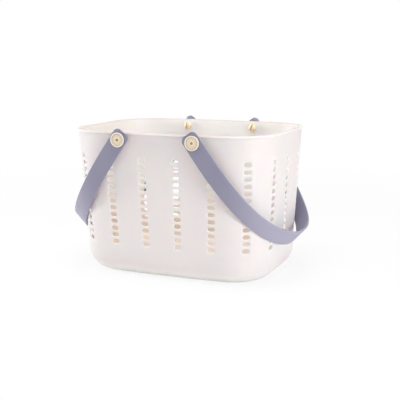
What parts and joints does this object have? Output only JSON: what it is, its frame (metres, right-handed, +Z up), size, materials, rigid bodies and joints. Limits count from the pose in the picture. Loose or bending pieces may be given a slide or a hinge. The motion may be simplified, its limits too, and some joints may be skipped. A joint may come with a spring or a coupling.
{
  "type": "bathroom basket",
  "caption": "Pale perforated plastic storage basket with two swinging strap handles held by snap pins.",
  "frame": {"origin": "centre of the flat base", "axes": "+Z up, +X along the long sides, -Y towards the front long wall"},
  "size_m": [0.343, 0.2528, 0.2106],
  "materials": {
    "shell_plastic": "satin moulded polypropylene, warm white",
    "strap_plastic": "satin moulded polypropylene, lavender grey",
    "pin_plastic": "smooth moulded nylon, beige"
  },
  "bodies": {
    "basket": {"basket_body": "shell_plastic", "front_left_pin": "pin_plastic", "front_right_pin": "pin_plastic", "back_left_pin": "pin_plastic", "back_right_pin": "pin_plastic"},
    "left_handle": {"left_handle": "strap_plastic"},
    "right_handle": {"right_handle": "strap_plastic"}
  },
  "joints": [
    {"name": "left_handle_swing", "type": "hinge", "parent": "basket", "child": "left_handle", "pos_m": [-0.0542, 0, 0.1956], "axis": [0, 1, 0], "range_deg": [0, 155]},
    {"name": "right_handle_swing", "type": "hinge", "parent": "basket", "child": "right_handle", "pos_m": [0.0542, 0, 0.1956], "axis": [0, -1, 0], "range_deg": [0, 155]}
  ]
}
